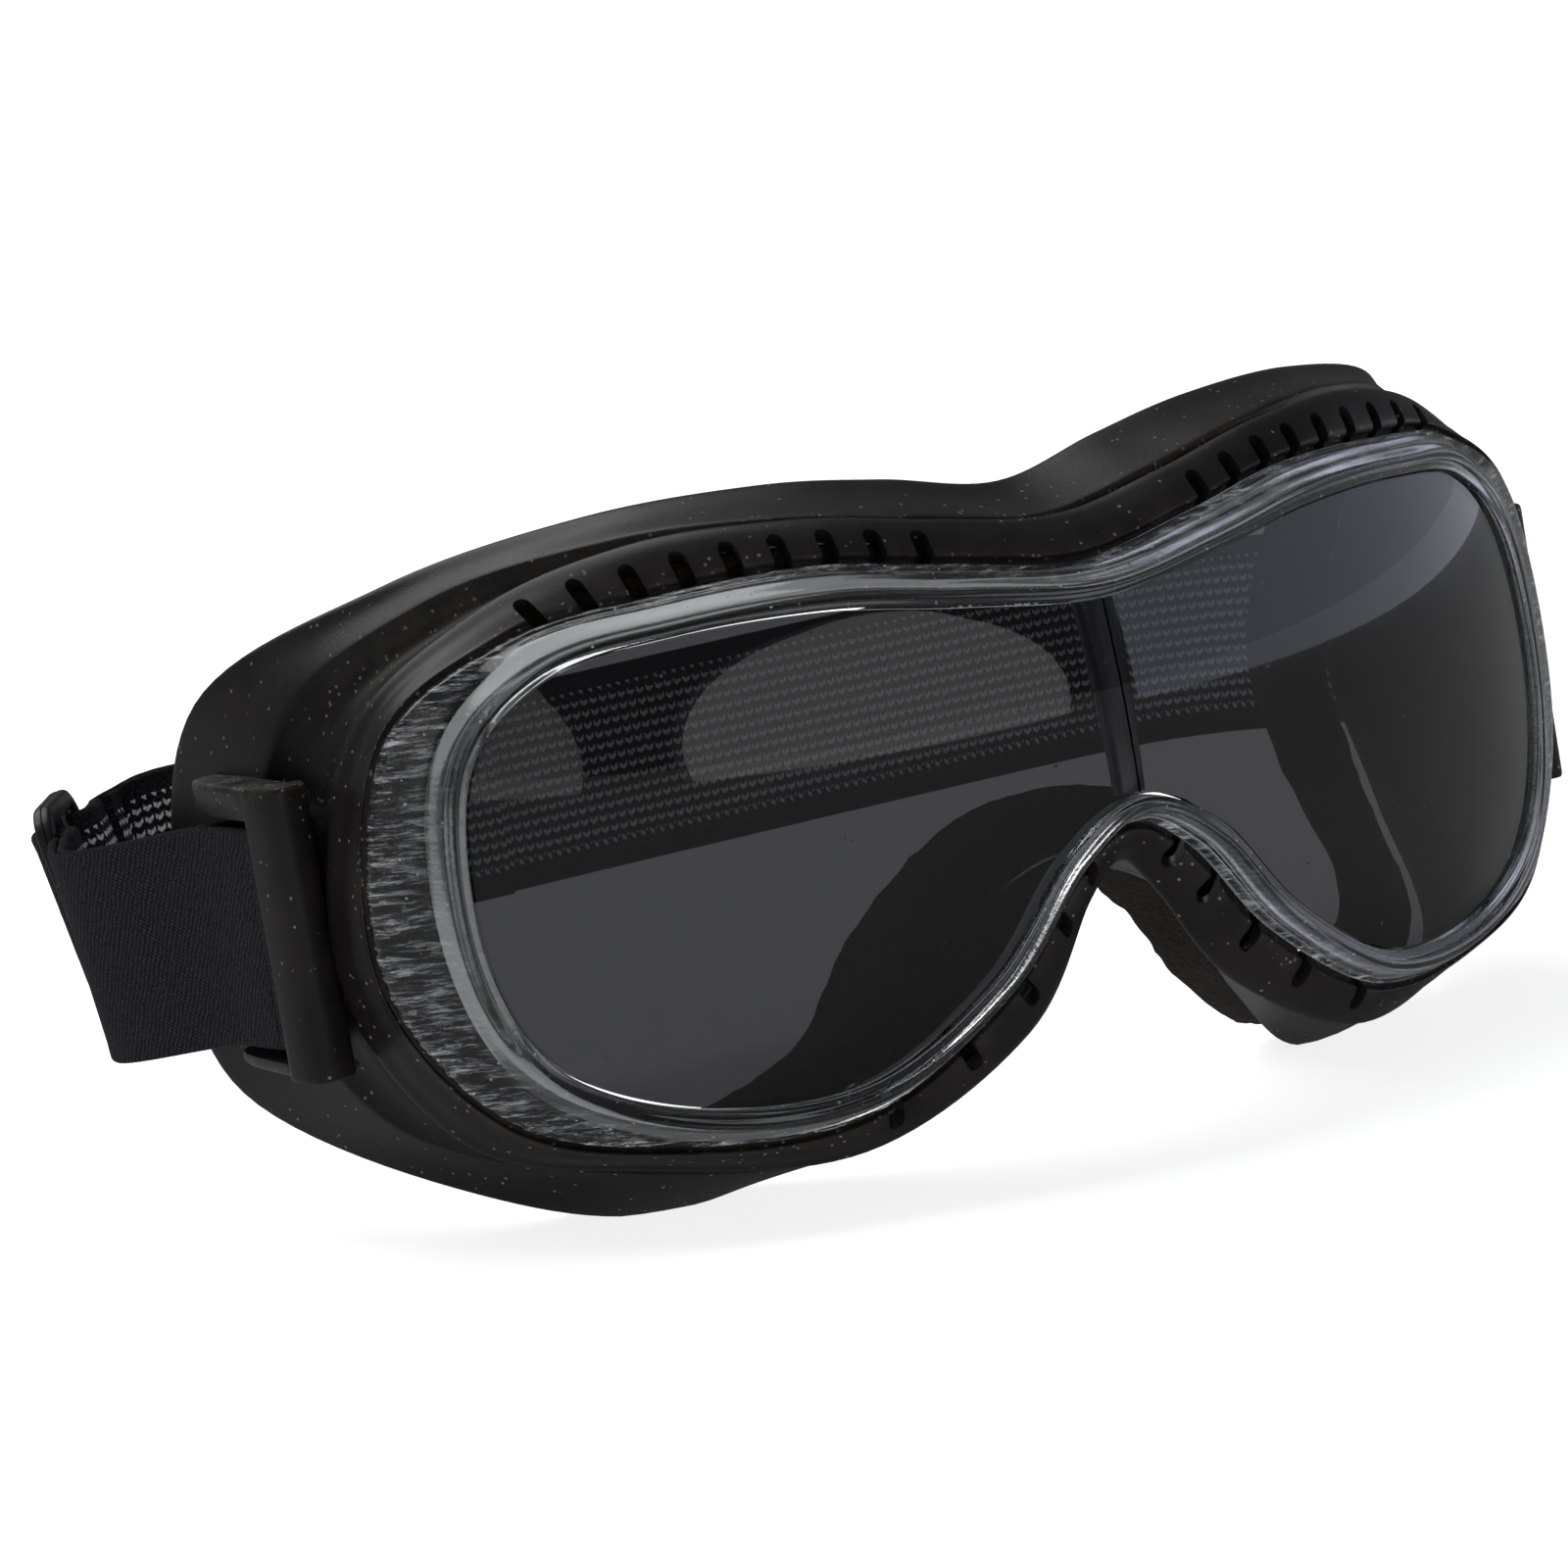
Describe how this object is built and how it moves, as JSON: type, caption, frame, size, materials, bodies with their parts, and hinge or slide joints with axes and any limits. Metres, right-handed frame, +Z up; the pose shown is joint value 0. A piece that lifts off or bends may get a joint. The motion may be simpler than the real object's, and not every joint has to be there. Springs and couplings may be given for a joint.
{
  "type": "motorcycle goggles",
  "caption": "Fit-over motorcycle goggles: a vented black frame with a clear lens carrier, smoke lenses, face foam and an elastic strap with a slider.",
  "frame": {"origin": "on the surface it stands on, under the centre of the whole box", "axes": "+X towards the wearer's left, +Y towards the back of the head, +Z up"},
  "size_m": [0.2024, 0.1501, 0.0892],
  "materials": {
    "frame": "matte soft black, slightly dusty",
    "clear": "clear moulded polycarbonate with fine scratches",
    "smoke": "gloss smoke tint",
    "face_foam": "flocked brown-black foam",
    "foam_film": "translucent adhesive film",
    "vent_foam": "open-cell grey-brown foam",
    "webbing": "black knitted elastic",
    "thread": "black sewing thread",
    "slider": "satin black moulded plastic",
    "pin": "plain steel wire"
  },
  "bodies": {
    "frame": {"centre_post": "clear", "face_foam": "face_foam", "foam_film": "foam_film", "frame_shell": "frame", "lens_carrier": "clear", "lens_left": "smoke", "lens_right": "smoke", "outrigger_left": "frame", "outrigger_right": "frame", "strap_hem_left": "webbing", "strap_loop_left": "webbing", "strap_loop_right": "webbing", "strap_pin_left": "pin", "strap_pin_right": "pin", "strap_stitch_left": "thread", "vent_foam_nose_left": "vent_foam", "vent_foam_nose_right": "vent_foam", "vent_foam_top_left": "vent_foam", "vent_foam_top_right": "vent_foam"},
    "strap": {"strap_band": "webbing", "strap_tail": "webbing", "strap_run_left": "webbing", "strap_run_outer": "webbing", "strap_run_inner": "webbing"},
    "slider": {"strap_slider": "slider", "strap_weave": "webbing"}
  },
  "joints": [
    {"name": "strap_stretch", "type": "slide", "parent": "frame", "child": "strap", "axis": [0, 1, 0], "range_m": [0, 0.045], "stiffness_N_per_m": 120, "deforming": ["strap_run_left", "strap_run_outer", "strap_run_inner"]},
    {"name": "slider_adjust", "type": "slide", "parent": "strap", "child": "slider", "axis": [-0.4913, -0.8706, -0.028], "range_m": [0, 0.018], "deforming": ["strap_run_outer", "strap_run_inner"]}
  ]
}
